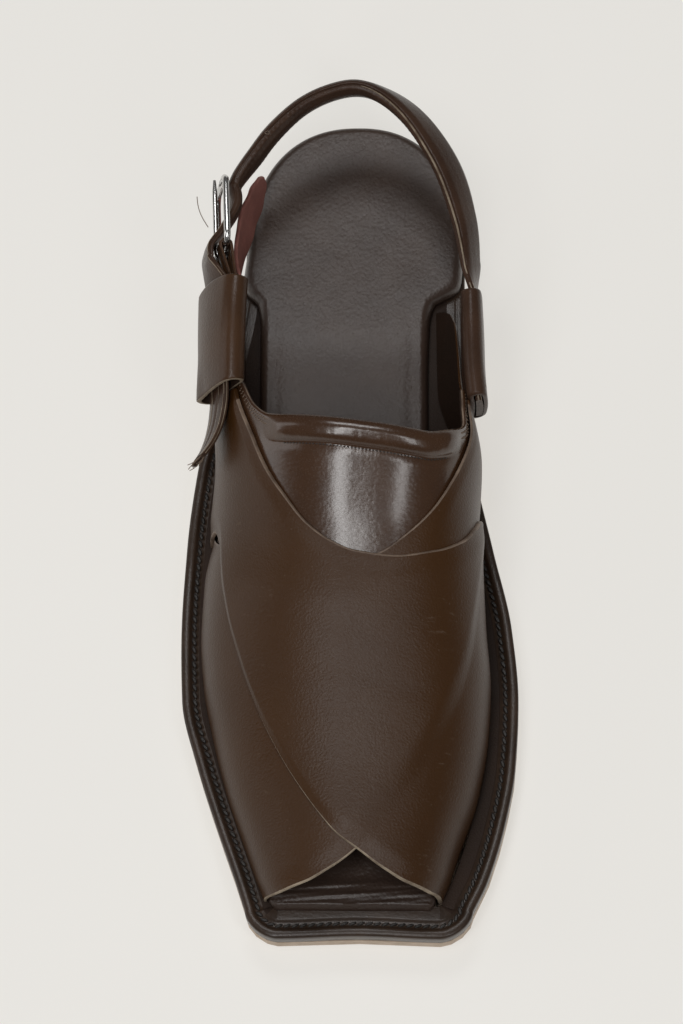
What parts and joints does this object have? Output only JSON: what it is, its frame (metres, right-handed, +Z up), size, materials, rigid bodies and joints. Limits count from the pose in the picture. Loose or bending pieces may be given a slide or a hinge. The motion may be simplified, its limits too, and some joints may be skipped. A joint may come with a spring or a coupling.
{
  "type": "open sandal with a crossed leather upper",
  "caption": "Right peshawari chappal: crossed leather vamp with open toe, throat panel, heel strap through side loops and a side buckle, on a welted sole with a low heel.",
  "frame": {"origin": "on the floor under the centre of the shoe's bounding box", "axes": "+Z up, the toe points to -Y, the medial side is +X"},
  "size_m": [0.1099, 0.277, 0.0779],
  "materials": {
    "heel_rubber": "matte black rubber",
    "heel_stack": "dark stained stacked leather",
    "tan_outsole": "pale natural leather",
    "welt_dark": "dark waxed leather with a stitch groove",
    "footbed_leather": "soft grained black-brown leather",
    "upper_leather": "polished dark brown grain leather",
    "guard_flesh_side": "red-brown flesh side",
    "buckle_steel": "bright nickel plating"
  },
  "bodies": {
    "root": {"heel_top_lift": "heel_rubber", "heel_block": "heel_stack", "outsole": "tan_outsole", "welt": "welt_dark", "footbed": "footbed_leather", "upper": "upper_leather", "throat_panel": "upper_leather", "lateral_loop": "upper_leather", "medial_loop": "upper_leather", "heel_strap": "upper_leather", "buckle_chape": "upper_leather", "buckle_guard": "guard_flesh_side", "buckle_frame": "buckle_steel", "buckle_prong": "buckle_steel"}
  },
  "joints": []
}
